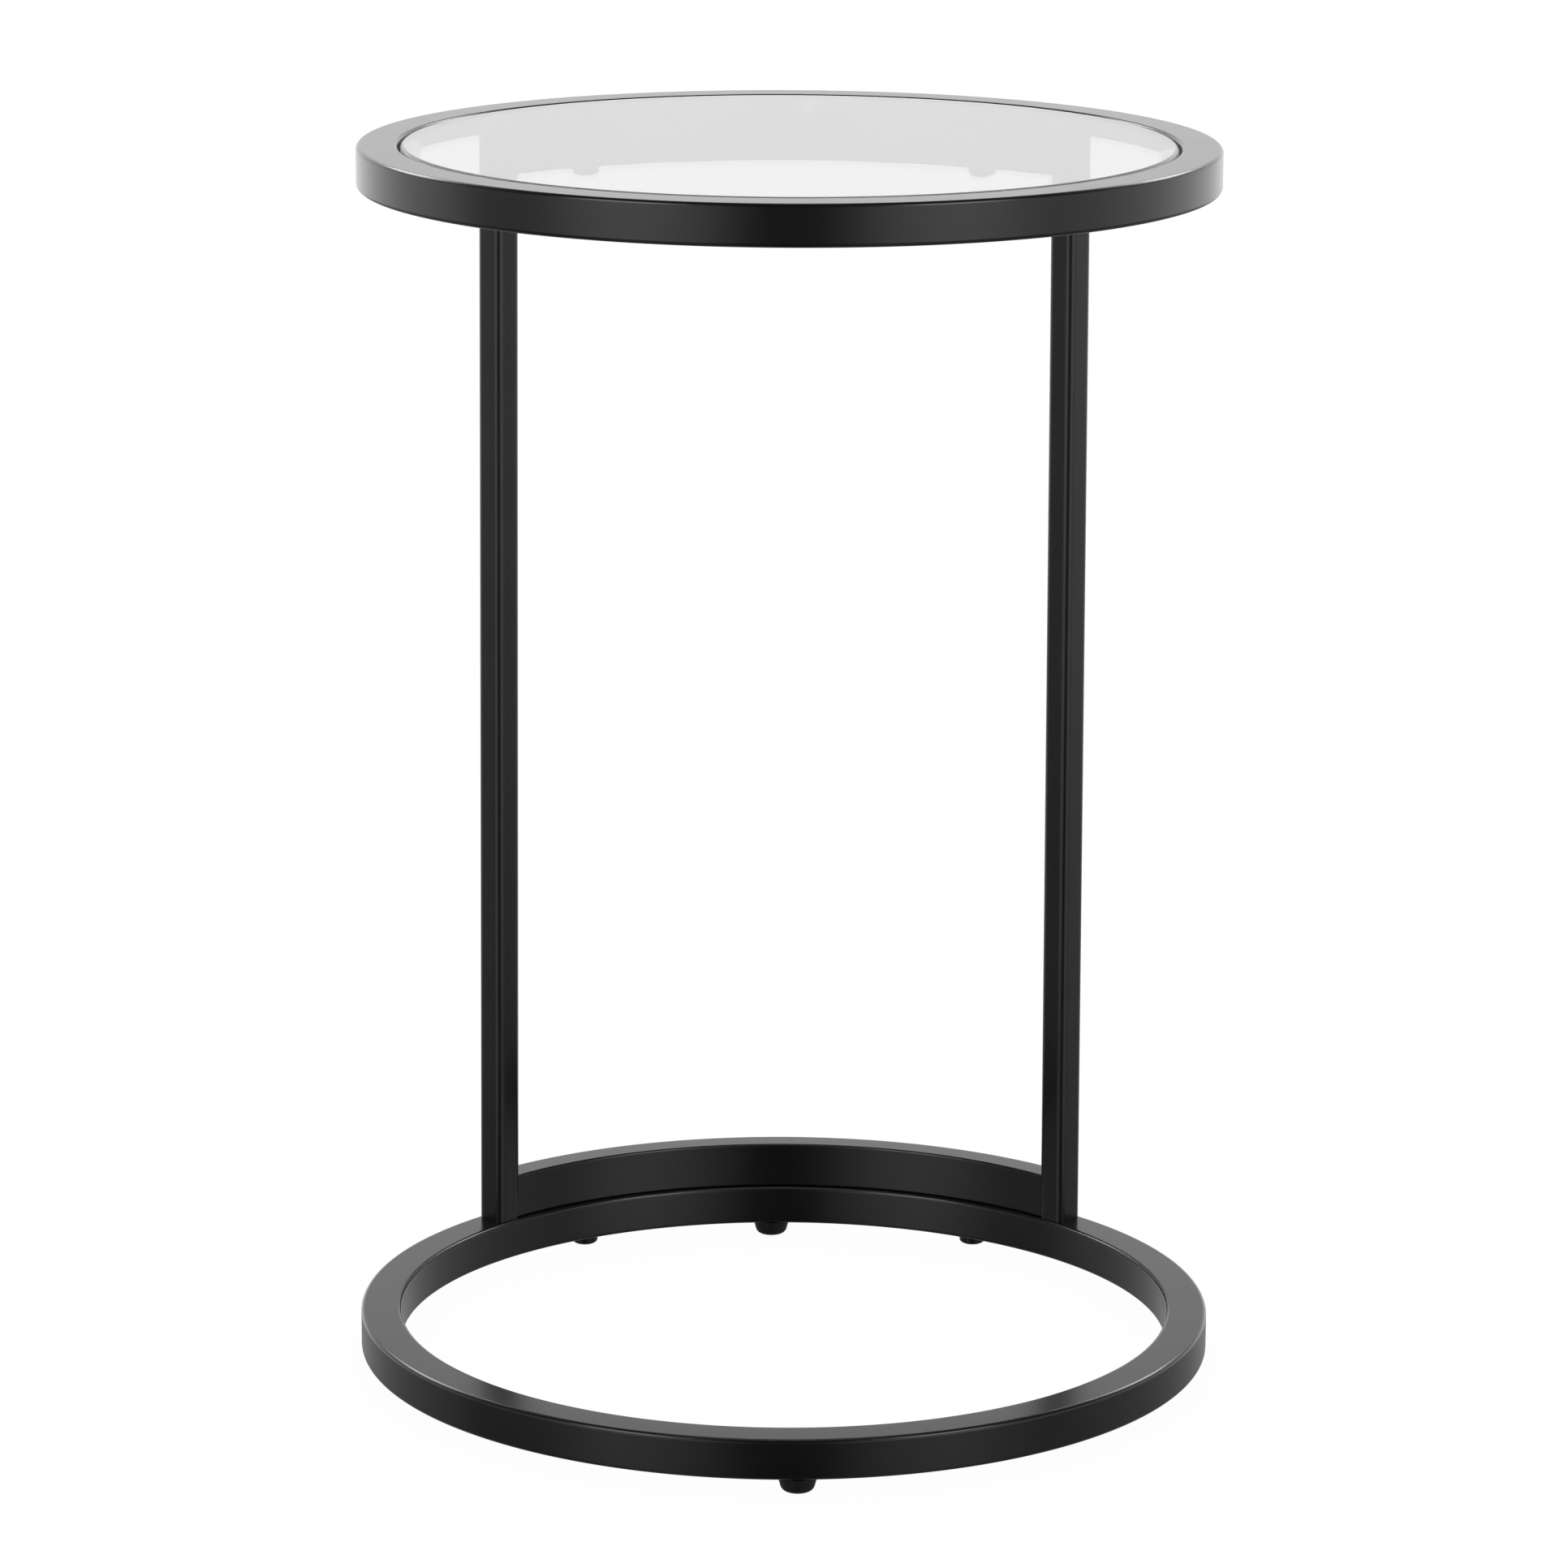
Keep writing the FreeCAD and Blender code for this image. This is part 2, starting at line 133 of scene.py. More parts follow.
class Wire:
    """Output of a node, on which sums are written as Python expressions."""

    def __init__(self, bench: "Bench", socket: NodeSocket) -> None:
        """Keep the bench that adds nodes and the socket itself."""
        self.bench = bench
        self.socket = socket

    def pick(self, output: str | int) -> "Wire":
        """Another output of the same node."""
        return Wire(self.bench, self.socket.node.outputs[output])

    def maths(self, operation: str, *terms: Term) -> "Wire":
        """Math node on some terms."""
        return self.bench.node("ShaderNodeMath", {"operation": operation}, dict(enumerate(terms)))

    def __add__(self, other: Term) -> "Wire":
        """Sum."""
        return self.maths("ADD", self, other)

    def __sub__(self, other: Term) -> "Wire":
        """Difference."""
        return self.maths("SUBTRACT", self, other)

    def __rsub__(self, other: Term) -> "Wire":
        """Difference from a number."""
        return self.maths("SUBTRACT", other, self)

    def __mul__(self, other: Term) -> "Wire":
        """Product."""
        return self.maths("MULTIPLY", self, other)

    def __truediv__(self, other: Term) -> "Wire":
        """Quotient."""
        return self.maths("DIVIDE", self, other)

    def __pow__(self, other: Term) -> "Wire":
        """Power."""
        return self.maths("POWER", self, other)

    def __gt__(self, other: Term) -> "Wire":
        """One where this is more than the other, and zero elsewhere."""
        return self.maths("GREATER_THAN", self, other)

    __radd__ = __add__


class Bench:
    """Node tree to which nodes are added by their type, settings and sockets."""

    def __init__(self, tree: NodeTree) -> None:
        """Keep the tree."""
        self.tree = tree

    @classmethod
    def emptied(cls, owner: Material | World) -> "Bench":
        """Bench on the tree of a material or world, with no node left on it.

        Args:
            owner: The material or world.

        Returns:
            The bench.
        """
        owner.use_nodes = True
        owner.node_tree.nodes.clear()
        return cls(owner.node_tree)

    def node(self, kind: str, settings: Values | None = None, sockets: Values | None = None,
             output: str | int = 0) -> Wire:
        """Add a node.

        Args:
            kind: Type of the node.
            settings: Properties of the node, set before its sockets.
            sockets: Value or wire of each input, by name or number.
            output: Output to return, by name or number.

        Returns:
            The chosen output.
        """
        made = self.tree.nodes.new(kind)
        for name, value in (settings or {}).items():
            setattr(made, name, value)
        for name, value in (sockets or {}).items():
            if isinstance(value, Wire):
                self.tree.links.new(value.socket, made.inputs[name])
            else:
                made.inputs[name].default_value = value
        return Wire(self, made.outputs[output])

    def end(self, kind: str, result: Wire) -> None:
        """Close the tree with an output node that takes the result."""
        self.tree.links.new(result.socket, self.tree.nodes.new(kind).inputs[0])

    def place(self) -> Wire:
        """Object coordinates, in metres."""
        return self.node("ShaderNodeTexCoord", output="Object")

    def split(self, vector: Wire) -> Wire:
        """X part of a vector, from which its Y and Z parts can be picked."""
        return self.node("ShaderNodeSeparateXYZ", sockets={0: vector})

    def from_axis(self, place: Wire) -> Wire:
        """Distance of a place from the Z axis."""
        across, along = (self.split(place).pick(name) for name in "XY")
        return (across * across + along * along) ** 0.5

    def upright(self, length: Wire) -> Wire:
        """Vector along Z."""
        return self.node("ShaderNodeCombineXYZ", sockets={"Z": length})

    def spin(self, angle: Wire) -> Wire:
        """Rotation round Z."""
        return self.node("FunctionNodeEulerToRotation", sockets={0: self.upright(angle)})

    def noise(self, place: Wire, pitch: float, detail: float = 2.0) -> Wire:
        """Soft noise from 0 to 1 with blotches of about one pitch."""
        sockets = {"Vector": place, "Scale": 1 / pitch, "Detail": detail}
        return self.node("ShaderNodeTexNoise", sockets=sockets)

    def step(self, value: Wire, low: float, high: float) -> Wire:
        """Smooth step from 0 at one value to 1 at another."""
        sockets = {"Value": value, "From Min": low, "From Max": high}
        return self.node("ShaderNodeMapRange", {"interpolation_type": "SMOOTHSTEP"}, sockets)

    def ramp(self, value: Wire, stops: Sequence[Span]) -> Wire:
        """Smooth curve through stops.

        Args:
            value: Where to read the curve.
            stops: Value and height of each stop, in order.

        Returns:
            Height of the curve.
        """
        first, last = stops[0][0], stops[-1][0]
        peak = max(height for _, height in stops)
        ramp = self.node("ShaderNodeValToRGB", sockets={0: (value - first) / (last - first)})
        curve = ramp.socket.node.color_ramp
        curve.interpolation = "CARDINAL"
        for index, (place, height) in enumerate(stops):
            at = (place - first) / (last - first)
            stop = curve.elements[index] if index in (0, 1) else curve.elements.new(at)
            stop.position = at
            stop.color = (height / peak, height / peak, height / peak, 1)
        return ramp * peak

    def blend(self, share: Wire, first: Wire | Colour, second: Colour) -> Wire:
        """Colour between two colours."""
        return self.node("ShaderNodeMix", {"data_type": "RGBA"}, {0: share, 6: first, 7: second}, output=2)

    def relief(self, height: Wire) -> Wire:
        """Normal of a surface whose height is given in metres."""
        return self.node("ShaderNodeBump", sockets={"Strength": 1.0, "Distance": 1.0, "Height": height})


@dataclass(frozen=True)
class Finish:
    """Finish of a surface: the record's slot for it and the material that shows it."""

    slot: Slot
    name: str

    def surface(self, bench: Bench) -> Values:
        """Inputs of the surface shader."""
        raise NotImplementedError

    @cache
    def material(self) -> Material:
        """Material of this finish, made once for equal finishes.

        Returns:
            The material.
        """
        made = bpy.data.materials.new(self.name)
        bench = Bench.emptied(made)
        shader = bench.node("ShaderNodeBsdfPrincipled", sockets=self.surface(bench))
        bench.end("ShaderNodeOutputMaterial", shader)
        return made


@dataclass(frozen=True)
class PowderCoat(Finish):
    """Satin black powder coat: a faint orange peel, a fine grain and a few dust nibs."""

    slot: Slot = Slot.SATIN_BLACK
    name: str = "satin_black_coat"
    colour: Colour = (0.0042, 0.0041, 0.0044, 1)
    worn_colour: Colour = (0.0068, 0.0066, 0.0068, 1)
    nib_colour: Colour = (0.06, 0.057, 0.052, 1)
    roughness: float = 0.225
    specular: float = 0.5
    peel_pitch: float = 3.2 * MM
    peel_height: float = 0.0014 * MM
    grain_pitch: float = 0.55 * MM
    grain_height: float = 0.00025 * MM
    grain_dulling: float = 0.03
    cloud_pitch: float = 45 * MM
    cloud_range: Span = (0.35, 0.7)
    cloud_dulling: float = 0.03
    nib_pitch: float = 26 * MM
    nib_radius: float = 0.22 * MM
    nib_height: float = 0.012 * MM
    nib_dulling: float = 0.3
    nib_rarity: float = 0.72

    def surface(self, bench: Bench) -> Values:
        """Dark paint whose gloss varies with grain and clouds.

        Args:
            bench: Tree of the material.

        Returns:
            Inputs of the surface shader.
        """
        place = bench.place()
        peel = bench.noise(place, self.peel_pitch)
        grain = bench.noise(place, self.grain_pitch, detail=3)
        cloud = bench.noise(place, self.cloud_pitch)
        cells = bench.node("ShaderNodeTexVoronoi", sockets={"Vector": place, "Scale": 1 / self.nib_pitch})
        chosen = bench.node("ShaderNodeSeparateColor", sockets={0: cells.pick("Color")}) > self.nib_rarity
        edge = self.nib_radius / self.nib_pitch
        nib = (1 - bench.step(cells, edge / 2, edge)) * chosen
        tone = bench.blend(bench.step(cloud, *self.cloud_range), self.colour, self.worn_colour)
        dulling = (grain - NOISE_MEAN) * self.grain_dulling + (cloud - NOISE_MEAN) * self.cloud_dulling
        height = peel * self.peel_height + grain * self.grain_height + nib * self.nib_height
        return {
            "Base Color": bench.blend(nib, tone, self.nib_colour),
            "Roughness": self.roughness + dulling + nib * self.nib_dulling,
            "Specular IOR Level": self.specular,
            "Normal": bench.relief(height),
        }


@dataclass(frozen=True, kw_only=True)
class ClearGlass(Finish):
    """Clear float glass with a ground and polished rim, wiped clean but for faint streaks."""

    radius: float
    edge: float
    slot: Slot = Slot.CLEAR_GLASS
    name: str = "float_glass"
    tint: Colour = (0.985, 0.993, 0.99, 1)
    rim_tint: Colour = (0.90, 0.955, 0.965, 1)
    rim_roughness: float = 0.11
    rim_share: float = 2 / 3
    streak_roughness: float = 0.012
    streak_pitch: float = 34 * MM
    streak_range: Span = (0.5, 0.8)
    wave_pitch: float = 70 * MM
    wave_height: float = 0.0015 * MM
    refraction: float = 1.52
    dust: float = 1.0
    dust_spread: float = 0.45

    def surface(self, bench: Bench) -> Values:
        """A clear disc whose rim is a little milky.

        Args:
            bench: Tree of the material.

        Returns:
            Inputs of the surface shader.
        """
        place = bench.place()
        flat = self.radius - self.edge
        rim = bench.step(bench.from_axis(place), flat, flat + self.edge * self.rim_share)
        streak = bench.step(bench.noise(place, self.streak_pitch, detail=4), *self.streak_range)
        return {
            "Base Color": bench.blend(rim, self.tint, self.rim_tint),
            "Roughness": rim * self.rim_roughness + streak * self.streak_roughness,
            "IOR": self.refraction,
            "Transmission Weight": 1.0,
            "Sheen Weight": self.dust,
            "Sheen Roughness": self.dust_spread,
            "Normal": bench.relief(bench.noise(place, self.wave_pitch, detail=0) * self.wave_height),
        }


@dataclass(frozen=True)
class ClearSilicone(Finish):
    """Soft clear silicone, slightly cloudy, with the fine skin of its mould."""

    slot: Slot = Slot.CLEAR_SILICONE
    name: str = "soft_silicone"
    tint: Colour = (0.95, 0.955, 0.95, 1)
    cloudy_tint: Colour = (0.86, 0.87, 0.87, 1)
    roughness: float = 0.14
    cloud_pitch: float = 2.5 * MM
    cloud_range: Span = (0.4, 0.75)
    cloud_dulling: float = 0.12
    skin_pitch: float = 0.3 * MM
    skin_height: float = 0.0012 * MM
    refraction: float = 1.41
    clarity: float = 0.88
    bloom: float = 0.7
    bloom_spread: float = 0.3

    def surface(self, bench: Bench) -> Values:
        """Clear, with cloudy patches.

        Args:
            bench: Tree of the material.

        Returns:
            Inputs of the surface shader.
        """
        place = bench.place()
        cloud = bench.noise(place, self.cloud_pitch, detail=3)
        skin = bench.noise(place, self.skin_pitch)
        return {
            "Base Color": bench.blend(bench.step(cloud, *self.cloud_range), self.tint, self.cloudy_tint),
            "Roughness": self.roughness + (cloud - NOISE_MEAN) * self.cloud_dulling,
            "IOR": self.refraction,
            "Transmission Weight": self.clarity,
            "Sheen Weight": self.bloom,
            "Sheen Roughness": self.bloom_spread,
            "Normal": bench.relief(skin * self.skin_height),
        }


@dataclass(frozen=True)
class MouldedRubber(Finish):
    """Hard black rubber with a fine moulded texture, scuffed pale on the tread."""

    slot: Slot = Slot.BLACK_RUBBER
    name: str = "moulded_rubber"
    colour: Colour = (0.005, 0.005, 0.0052, 1)
    scuff_colour: Colour = (0.035, 0.034, 0.032, 1)
    roughness: float = 0.5
    specular: float = 0.3
    texture_pitch: float = 0.35 * MM
    texture_height: float = 0.006 * MM
    texture_dulling: float = 0.2
    scuff_pitch: float = 2.2 * MM
    scuff_level: float = 1.2 * MM
    scuff_range: Span = (0.45, 0.7)
    scuff_dulling: float = 0.2

    def surface(self, bench: Bench) -> Values:
        """Matt black, with scuffs near the floor.

        Args:
            bench: Tree of the material.

        Returns:
            Inputs of the surface shader.
        """
        place = bench.place()
        texture = bench.noise(place, self.texture_pitch, detail=3)
        low = 1 - bench.step(bench.split(place).pick("Z"), 0.0, self.scuff_level)
        scuff = bench.step(bench.noise(place, self.scuff_pitch, detail=4), *self.scuff_range) * low
        dulling = (texture - NOISE_MEAN) * self.texture_dulling + scuff * self.scuff_dulling
        return {
            "Base Color": bench.blend(scuff, self.colour, self.scuff_colour),
            "Roughness": self.roughness + dulling,
            "Specular IOR Level": self.specular,
            "Normal": bench.relief(texture * self.texture_height),
        }


@dataclass(frozen=True, kw_only=True)
class PlatedSteel(Finish):
    """Plated steel with fine marks, and spots where the plate is thin or dull."""

    colour: Colour
    spot_colour: Colour
    metal: float
    spot_metal: float = 0.0
    roughness: float
    spot_pitch: float
    spot_range: Span
    spot_dulling: float
    mark_pitch: float
    mark_height: float
    mark_dulling: float

    def surface(self, bench: Bench) -> Values:
        """Metal that changes in its spots.

        Args:
            bench: Tree of the material.

        Returns:
            Inputs of the surface shader.
        """
        place = bench.place()
        spot = bench.step(bench.noise(place, self.spot_pitch, detail=4), *self.spot_range)
        mark = bench.noise(place, self.mark_pitch)
        dulling = spot * self.spot_dulling + (mark - NOISE_MEAN) * self.mark_dulling
        return {
            "Base Color": bench.blend(spot, self.colour, self.spot_colour),
            "Metallic": self.metal + spot * self.spot_metal if self.spot_metal else self.metal,
            "Roughness": self.roughness + dulling,
            "Normal": bench.relief(mark * self.mark_height),
        }


BLACKENED_STEEL = PlatedSteel(
    slot=Slot.BLACK_HARDWARE, name="blackened_steel", colour=(0.018, 0.018, 0.019, 1),
    spot_colour=(0.05, 0.049, 0.048, 1), metal=0.75, spot_metal=0.2, roughness=0.33,
    spot_pitch=1.8 * MM, spot_range=(0.45, 0.75), spot_dulling=-0.06,
    mark_pitch=0.18 * MM, mark_height=0.0015 * MM, mark_dulling=0.15)
ZINC_PLATE = PlatedSteel(
    slot=Slot.PLATED_STEEL, name="zinc_plate", colour=(0.66, 0.67, 0.68, 1),
    spot_colour=(0.45, 0.45, 0.44, 1), metal=1.0, roughness=0.24,
    spot_pitch=1.4 * MM, spot_range=(0.45, 0.8), spot_dulling=0.2,
    mark_pitch=0.12 * MM, mark_height=0.0012 * MM, mark_dulling=0.1)


@dataclass(frozen=True)
class Corner:
    """Corner of a turned outline: its distance from the axis, its height and its rounding."""

    out: float
    up: float
    rounding: float = 0.0


def rounded_outline(corners: Sequence[Corner], closed: bool = False, steps: int = 7) -> list[Vector]:
    """Outline through corners, with an arc at each rounded one.

    Args:
        corners: Corners in order.
        closed: Whether the last corner joins the first.
        steps: Number of spans in each arc.

    Returns:
        Points of the outline, with the distance from the axis as X and the height as Y.
    """
    points = []
    for index, corner in enumerate(corners):
        here = Vector((corner.out, corner.up))
        if not corner.rounding:
            points.append(here)
            continue
        before = corners[index - 1]
        after = corners[(index + 1) % len(corners)]
        back = (Vector((before.out, before.up)) - here).normalized()
        ahead = (Vector((after.out, after.up)) - here).normalized()
        half = back.angle(ahead) / 2
        centre = here + (back + ahead).normalized() * corner.rounding / math.sin(half)
        start = here + back * corner.rounding / math.tan(half) - centre
        sweep = start.angle_signed(here + ahead * corner.rounding / math.tan(half) - centre)
        for step in range(steps + 1):
            points.append(centre + Matrix.Rotation(-sweep * step / steps, 2) @ start)
    return points + points[:1] if closed else points


def turn_on_lathe(name: str, outline: Sequence[Vector], steps: int) -> Mesh:
    """Mesh of an outline that is turned round Z.

    Args:
        name: Name of the mesh.
        outline: Points with the distance from the axis as X and the height as Y.
        steps: Number of spans round the axis.

    Returns:
        Mesh whose faces point outwards.
    """
    shape = bmesh.new()
    turns = [FULL_TURN * k / steps for k in range(steps)]
    rows = []
    for point in outline:
        if point.x < WELD:
            rows.append([shape.verts.new((0, 0, point.y))] * steps)
        else:
            places = [(point.x * math.sin(turn), point.x * math.cos(turn), point.y) for turn in turns]
            rows.append([shape.verts.new(place) for place in places])
    for lower, upper in zip(rows, rows[1:]):
        for k in range(steps):
            ring = [lower[k - 1], lower[k], upper[k], upper[k - 1]]
            shape.faces.new(list(dict.fromkeys(ring)))
    return to_mesh(shape, name)


def to_mesh(shape: bmesh.types.BMesh, name: str) -> Mesh:
    """Mesh of a shape, merged, smooth and with its faces turned outwards.

    Args:
        shape: The shape, which is freed.
        name: Name of the mesh.

    Returns:
        The mesh.
    """
    bmesh.ops.remove_doubles(shape, verts=shape.verts, dist=WELD)
    bmesh.ops.recalc_face_normals(shape, faces=shape.faces)
    for face in shape.faces:
        face.smooth = True
    mesh = bpy.data.meshes.new(name)
    shape.to_mesh(mesh)
    shape.free()
    mesh.set_sharp_from_angle(angle=SHARP_EDGE)
    return mesh


def plain_piece(carrier: Object) -> Object:
    """Object with the evaluated mesh of a carrier, whose flats keep even normals.

    Args:
        carrier: Object with its modifiers, which is removed.

    Returns:
        A plain object of the carrier's name.
    """
    even = carrier.modifiers.new("even_flats", "WEIGHTED_NORMAL")
    even.weight = FLATS_FIRST
    even.keep_sharp = True
    name = carrier.name
    evaluated = carrier.evaluated_get(bpy.context.evaluated_depsgraph_get())
    mesh = bpy.data.meshes.new_from_object(evaluated)
    bpy.data.objects.remove(carrier)
    mesh.name = name
    return new_object(name, mesh)


def new_object(name: str, data: ID) -> Object:
    """Object at the origin, in the scene.

    Args:
        name: Name of the object.
        data: Its mesh, lamp or camera.

    Returns:
        The object.
    """
    made = bpy.data.objects.new(name, data)
    bpy.context.scene.collection.objects.link(made)
    return made


def settle(piece: Object, finish: Finish, body: CadBody, nodes: Sequence[str]) -> None:
    """Hang a piece on its body in place of the CAD nodes that it stands for.

    Args:
        piece: The finished piece.
        finish: Finish of its surface.
        body: Body that carries it.
        nodes: CAD nodes that it replaces.
    """
    piece.data.materials.clear()
    piece.data.materials.append(finish.material())
    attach(piece, body.value)
    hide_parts(*nodes)
    faces = len(piece.data.polygons)
    LOG.info("%s: %d faces on %s for %s", piece.name, faces, body.value, ", ".join(nodes))


def at_quarters(node: str) -> list[str]:
    """CAD nodes of one kind, at each quarter of a ring."""
    return [f"{node}_{quarter.value}" for quarter in Quarter]


def middle(node: str) -> Vector:
    """Middle of a CAD node's box."""
    low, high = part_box(node)
    return (low + high) / 2


def angle_from_back(point: Vector) -> float:
    """Angle of a point round the Z axis, from the back towards +X."""
    return math.atan2(point.x, point.y)


class Recipe:
    """Geometry Nodes tree with named inputs, run once for each piece that it makes."""

    title = "recipe"
    inputs: Mapping[str, str] = {}

    def __init__(self) -> None:
        """Build the tree: its inputs, its shape, then the shared end."""
        self.tree = bpy.data.node_groups.new(self.title, "GeometryNodeTree")
        self.bench = Bench(self.tree)
        self.identifiers: dict[str, str] = {}
        kinds = {"Geometry": "Geometry", **self.inputs, "Finish": "Material"}
        for name, kind in kinds.items():
            made = self.tree.interface.new_socket(name, in_out="INPUT", socket_type=f"NodeSocket{kind}")
            self.identifiers[name] = made.identifier
        self.tree.interface.new_socket("Geometry", in_out="OUTPUT", socket_type="NodeSocketGeometry")
        self.source = self.bench.node("NodeGroupInput")
        self.close(self.shape())

    def given(self, name: str) -> Wire:
        """One of the tree's inputs."""
        return self.source.pick(name)

    def shape(self) -> Wire:
        """Geometry of the piece."""
        raise NotImplementedError

    def close(self, shape: Wire) -> None:
        """End the tree: real faces, smooth but for sharp edges, in their finish.

        Args:
            shape: Geometry of the piece.
        """
        bench = self.bench
        real = bench.node("GeometryNodeRealizeInstances", sockets={"Geometry": shape})
        smooth = bench.node("GeometryNodeSetShadeSmooth", {"domain": "FACE"},
                            {"Geometry": real, "Shade Smooth": True})
        bend = bench.node("GeometryNodeInputMeshEdgeAngle")
        sharp = bench.node("FunctionNodeCompare", {"operation": "GREATER_THAN"}, {0: bend, 1: SHARP_EDGE})
        crisp = bench.node("GeometryNodeSetShadeSmooth", {"domain": "EDGE"},
                           {"Geometry": smooth, "Selection": sharp, "Shade Smooth": False})
        dressed = bench.node("GeometryNodeSetMaterial",
                             sockets={"Geometry": crisp, "Material": self.given("Finish")})
        bench.end("NodeGroupOutput", dressed)

    def section(self, width: Wire, height: Wire) -> Wire:
        """Rounded outline of a tube, from the inputs for its corners.

        Args:
            width: Width of the tube.
            height: Height of the tube.

        Returns:
            Curve of the outline.
        """
        plain = self.bench.node("GeometryNodeCurvePrimitiveQuadrilateral",
                                sockets={"Width": width, "Height": height})
        return self.bench.node("GeometryNodeFilletCurve", {"mode": "POLY"},
                               {"Curve": plain, "Count": self.given("Corner Steps"),
                                "Radius": self.given("Corner Radius")})

    def sweep(self, path: Wire, section: Wire) -> Wire:
        """Capped tube along a path, kept upright.

        Args:
            path: Curve that the tube follows.
            section: Curve of the tube's outline.

        Returns:
            Geometry of the tube.
        """
        upright = self.bench.node("GeometryNodeSetCurveNormal", {"mode": "Z_UP"}, {"Curve": path})
        return self.bench.node("GeometryNodeCurveToMesh",
                               sockets={"Curve": upright, "Profile Curve": section, "Fill Caps": True})

    def make(self, name: str, values: Values, start: Mesh | None = None) -> Object:
        """Run the tree once.

        Args:
            name: Name of the piece.
            values: Value of each named input.
            start: Mesh that the tree starts from, if it uses one.

        Returns:
            The piece as a plain mesh object.
        """
        carrier = new_object(name, start or bpy.data.meshes.new(name))
        modifier = carrier.modifiers.new(self.title, "NODES")
        modifier.node_group = self.tree
        for title, value in values.items():
            modifier[self.identifiers[title]] = value
        return plain_piece(carrier)


class RolledTube(Recipe):
    """Tube rolled round the table's axis: a full ring, or an arc about the back."""

    title = "rolled_tube"
    inputs = {"Middle Radius": "Float", "Half Sweep": "Float", "Full Ring": "Bool", "Path Steps": "Int",
              "Tube Depth": "Float", "Tube Height": "Float", "Corner Radius": "Float",
              "Corner Steps": "Int", "Level": "Float"}

    def shape(self) -> Wire:
        """Section of the tube along a circle or an arc.

        Returns:
            Geometry of the tube.
        """
        bench, given = self.bench, self.given
        path = {"Resolution": given("Path Steps"), "Radius": given("Middle Radius")}
        ring = bench.node("GeometryNodeCurvePrimitiveCircle", sockets=path)
        half = given("Half Sweep")
        arc = bench.node("GeometryNodeCurveArc",
                         sockets={**path, "Start Angle": QUARTER_TURN - half, "Sweep Angle": half * 2})
        route = bench.node("GeometryNodeSwitch", {"input_type": "GEOMETRY"},
                           {"Switch": given("Full Ring"), "False": arc, "True": ring})
        tube = self.sweep(route, self.section(given("Tube Depth"), given("Tube Height")))
        lift = bench.upright(given("Level"))
        return bench.node("GeometryNodeTransform", sockets={"Geometry": tube, "Translation": lift})


class UprightTube(Recipe):
    """Square tube with level ends that leans from its foot to its head and faces the table's axis."""

    title = "upright_tube"
    inputs = {"Foot": "Vector", "Head": "Vector", "Angle": "Float", "Tube Side": "Float",
              "Corner Radius": "Float", "Corner Steps": "Int"}

    def shape(self) -> Wire:
        """Section of the tube along a plumb line, turned, then moved over at each level.

        Returns:
            Geometry of the tube.
        """
        bench, given = self.bench, self.given
        foot, head, side = given("Foot"), given("Head"), given("Tube Side")
        low, high = bench.split(foot).pick("Z"), bench.split(head).pick("Z")
        line = bench.node("GeometryNodeCurvePrimitiveLine",
                          sockets={"Start": bench.upright(low), "End": bench.upright(high)})
        tube = self.sweep(line, self.section(side, side))
        facing = bench.spin(0 - given("Angle"))
        turned = bench.node("GeometryNodeTransform", sockets={"Geometry": tube, "Rotation": facing})
        level = bench.split(bench.node("GeometryNodeInputPosition")).pick("Z")
        share = (level - low) / (high - low)
        axis = bench.node("ShaderNodeMix", {"data_type": "VECTOR"}, {0: share, 4: foot, 5: head}, output=1)
        over = bench.node("ShaderNodeVectorMath", {"operation": "MULTIPLY"}, {0: axis, 1: (1, 1, 0)})
        return bench.node("GeometryNodeSetPosition", sockets={"Geometry": turned, "Offset": over})


class SpotCopies(Recipe):
    """Copies of one small part, on the points of a mesh and turned round Z as each point says."""

    title = "spot_copies"
    inputs = {"Part": "Object"}

    def shape(self) -> Wire:
        """The part on each point.

        Returns:
            Geometry of the copies.
        """
        bench = self.bench
        part = bench.node("GeometryNodeObjectInfo", sockets={"Object": self.given("Part")})
        turn = bench.node("GeometryNodeInputNamedAttribute", {"data_type": "FLOAT"}, {0: TURN_ATTRIBUTE})
        spots = {"Points": self.given("Geometry"), "Instance": part.pick("Geometry"),
                 "Rotation": bench.spin(turn)}
        return bench.node("GeometryNodeInstanceOnPoints", sockets=spots)

    def put(self, name: str, part: Mesh, spots: Spots, finish: Finish, nodes: Sequence[str]) -> None:
        """Put a part on several spots of the frame, in place of CAD nodes.

        Args:
            name: Name of the piece that all copies make up.
            part: Mesh of one copy.
            spots: Place of each copy and its turn round Z.
            finish: Finish of the copies.
            nodes: CAD nodes that they replace.
        """
        points = bpy.data.meshes.new(name)
        points.from_pydata([place for place, _ in spots], [], [])
        turns = points.attributes.new(TURN_ATTRIBUTE, "FLOAT", "POINT")
        turns.data.foreach_set("value", [turn for _, turn in spots])
        pattern = new_object(f"{name}_pattern", part)
        piece = self.make(name, {"Part": pattern, "Finish": finish.material()}, points)
        bpy.data.objects.remove(pattern)
        settle(piece, finish, CadBody.FRAME, nodes)


